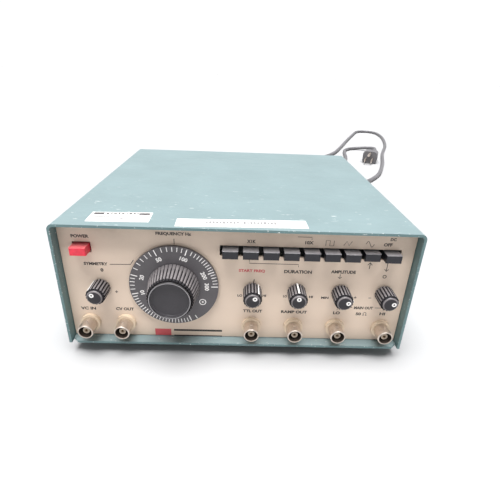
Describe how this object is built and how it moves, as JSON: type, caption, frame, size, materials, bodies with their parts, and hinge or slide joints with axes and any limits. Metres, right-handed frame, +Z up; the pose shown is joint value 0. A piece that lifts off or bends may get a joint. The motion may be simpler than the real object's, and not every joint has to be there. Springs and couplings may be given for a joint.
{
  "type": "function generator",
  "caption": "Bench function generator: wrapped enamelled case with a recessed panel, large frequency dial, level knobs, push-buttons, coaxial jacks and a loose mains cord.",
  "frame": {"origin": "under the middle of the instrument, on the surface that its feet stand on", "axes": "+X to the right as the panel is read, +Y to the back, +Z up"},
  "size_m": [0.5043, 1.0038, 0.0906],
  "materials": {
    "enamel": "satin",
    "panel_paint": "matte",
    "plated_steel": "satin",
    "zinc": "satin",
    "grey_plastic": "matte",
    "dial_plastic": "satin",
    "bright_ring": "polished",
    "button_grey": "satin",
    "button_red": "satin",
    "nickel": "satin",
    "cream_nylon": "satin",
    "white_insulator": "matte",
    "contact_gold": "polished",
    "black_rubber": "matte",
    "board_laminate": "satin",
    "black_epoxy": "matte",
    "resistor_lacquer": "satin",
    "capacitor_can": "satin",
    "lamination": "matte",
    "winding": "satin",
    "black_anodised": "matte",
    "paper": "matte",
    "grey_cord": "satin",
    "white_ink": "matte",
    "dark_ink": "matte",
    "red_ink": "matte"
  },
  "bodies": {
    "case": {"board_resistors": "resistor_lacquer", "board_standoffs": "plated_steel", "bottom_tray": "enamel", "control_nuts": "plated_steel", "control_subpanel": "zinc", "cover": "enamel", "cover_screws": "plated_steel", "dial_control": "plated_steel", "feet": "black_rubber", "filter_capacitors": "capacitor_can", "foot_screws": "plated_steel", "front_panel": "panel_paint", "fuse_holder": "black_epoxy", "heat_sink": "black_anodised", "integrated_circuits": "black_epoxy", "jack_contacts": "contact_gold", "jack_insulators": "white_insulator", "jack_nuts": "plated_steel", "jack_shells": "nickel", "jack_washers": "cream_nylon", "level_controls": "plated_steel", "main_board": "board_laminate", "mains_cord": "grey_cord", "paper_labels": "paper", "plug_blades": "nickel", "plug_body": "grey_cord", "power_switch": "black_epoxy", "rear_panel": "zinc", "side_rails": "zinc", "strain_relief": "black_rubber", "switch_bank": "black_epoxy", "transformer_core": "lamination", "transformer_winding": "winding", "voltage_selector": "black_epoxy"},
    "dial": {"dial_disc": "dial_plastic", "dial_knob": "grey_plastic", "dial_ring": "bright_ring", "dial_shaft": "plated_steel"},
    "symmetry_control": {"symmetry_knob": "grey_plastic", "symmetry_shaft": "plated_steel"},
    "start_control": {"start_knob": "grey_plastic", "start_shaft": "plated_steel"},
    "duration_control": {"duration_knob": "grey_plastic", "duration_shaft": "plated_steel"},
    "amplitude_control": {"amplitude_knob": "grey_plastic", "amplitude_shaft": "plated_steel"},
    "offset_control": {"offset_knob": "grey_plastic", "offset_shaft": "plated_steel"},
    "range_1_key": {"range_1_button": "button_grey"},
    "range_2_key": {"range_2_button": "button_grey"},
    "range_3_key": {"range_3_button": "button_grey"},
    "range_4_key": {"range_4_button": "button_grey"},
    "range_5_key": {"range_5_button": "button_grey"},
    "square_wave_key": {"square_wave_button": "button_grey"},
    "triangle_wave_key": {"triangle_wave_button": "button_grey"},
    "sine_wave_key": {"sine_wave_button": "button_grey"},
    "attenuator_key": {"attenuator_button": "button_grey"},
    "power_key": {"power_button": "button_red"},
    "fuse_carrier": {"fuse_cap": "black_epoxy"},
    "voltage_slide": {"selector_slider": "button_red"}
  },
  "joints": [
    {"name": "dial_turn", "type": "hinge", "parent": "case", "child": "dial", "pos_m": [-0.0394, -0.1001, 0.0494], "axis": [0, 1, 0], "range_deg": [-150, 150]},
    {"name": "symmetry_turn", "type": "hinge", "parent": "case", "child": "symmetry_control", "pos_m": [-0.0846, -0.1001, 0.047], "axis": [0, 1, 0], "range_deg": [-108, 192]},
    {"name": "start_turn", "type": "hinge", "parent": "case", "child": "start_control", "pos_m": [0.009, -0.1001, 0.047], "axis": [0, 1, 0], "range_deg": [-188, 112]},
    {"name": "duration_turn", "type": "hinge", "parent": "case", "child": "duration_control", "pos_m": [0.03675, -0.1001, 0.047], "axis": [0, 1, 0], "range_deg": [-150, 150]},
    {"name": "amplitude_turn", "type": "hinge", "parent": "case", "child": "amplitude_control", "pos_m": [0.0645, -0.1001, 0.047], "axis": [0, 1, 0], "range_deg": [-235, 65]},
    {"name": "offset_turn", "type": "hinge", "parent": "case", "child": "offset_control", "pos_m": [0.0922, -0.1001, 0.047], "axis": [0, 1, 0], "range_deg": [-238, 62]},
    {"name": "range_1_push", "type": "slide", "parent": "case", "child": "range_1_key", "axis": [0, 1, 0], "range_m": [0, 0.0035], "stiffness_N_per_m": 350, "springref_m": -0.0015},
    {"name": "range_2_push", "type": "slide", "parent": "case", "child": "range_2_key", "axis": [0, 1, 0], "range_m": [0, 0.0035], "stiffness_N_per_m": 350, "springref_m": -0.0015},
    {"name": "range_3_push", "type": "slide", "parent": "case", "child": "range_3_key", "axis": [0, 1, 0], "range_m": [0, 0.0035], "stiffness_N_per_m": 350, "springref_m": -0.0015},
    {"name": "range_4_push", "type": "slide", "parent": "case", "child": "range_4_key", "axis": [0, 1, 0], "range_m": [0, 0.0035], "stiffness_N_per_m": 350, "springref_m": -0.0015},
    {"name": "range_5_push", "type": "slide", "parent": "case", "child": "range_5_key", "axis": [0, 1, 0], "range_m": [0, 0.0035], "stiffness_N_per_m": 350, "springref_m": -0.0015},
    {"name": "square_wave_push", "type": "slide", "parent": "case", "child": "square_wave_key", "axis": [0, 1, 0], "range_m": [0, 0.0035], "stiffness_N_per_m": 350, "springref_m": -0.0015},
    {"name": "triangle_wave_push", "type": "slide", "parent": "case", "child": "triangle_wave_key", "axis": [0, 1, 0], "range_m": [0, 0.0035], "stiffness_N_per_m": 350, "springref_m": -0.0015},
    {"name": "sine_wave_push", "type": "slide", "parent": "case", "child": "sine_wave_key", "axis": [0, 1, 0], "range_m": [-0.0017, 0.0018]},
    {"name": "attenuator_push", "type": "slide", "parent": "case", "child": "attenuator_key", "axis": [0, 1, 0], "range_m": [0, 0.0035], "stiffness_N_per_m": 350, "springref_m": -0.0015},
    {"name": "power_push", "type": "slide", "parent": "case", "child": "power_key", "axis": [0, 1, 0], "range_m": [0, 0.0035], "stiffness_N_per_m": 350, "springref_m": -0.0015},
    {"name": "fuse_cap_turn", "type": "hinge", "parent": "case", "child": "fuse_carrier", "pos_m": [0.088, 0.1079, 0.06], "axis": [0, 1, 0], "range_deg": [0, 90]},
    {"name": "voltage_select", "type": "slide", "parent": "case", "child": "voltage_slide", "axis": [1, 0, 0], "range_m": [0, 0.005]}
  ]
}
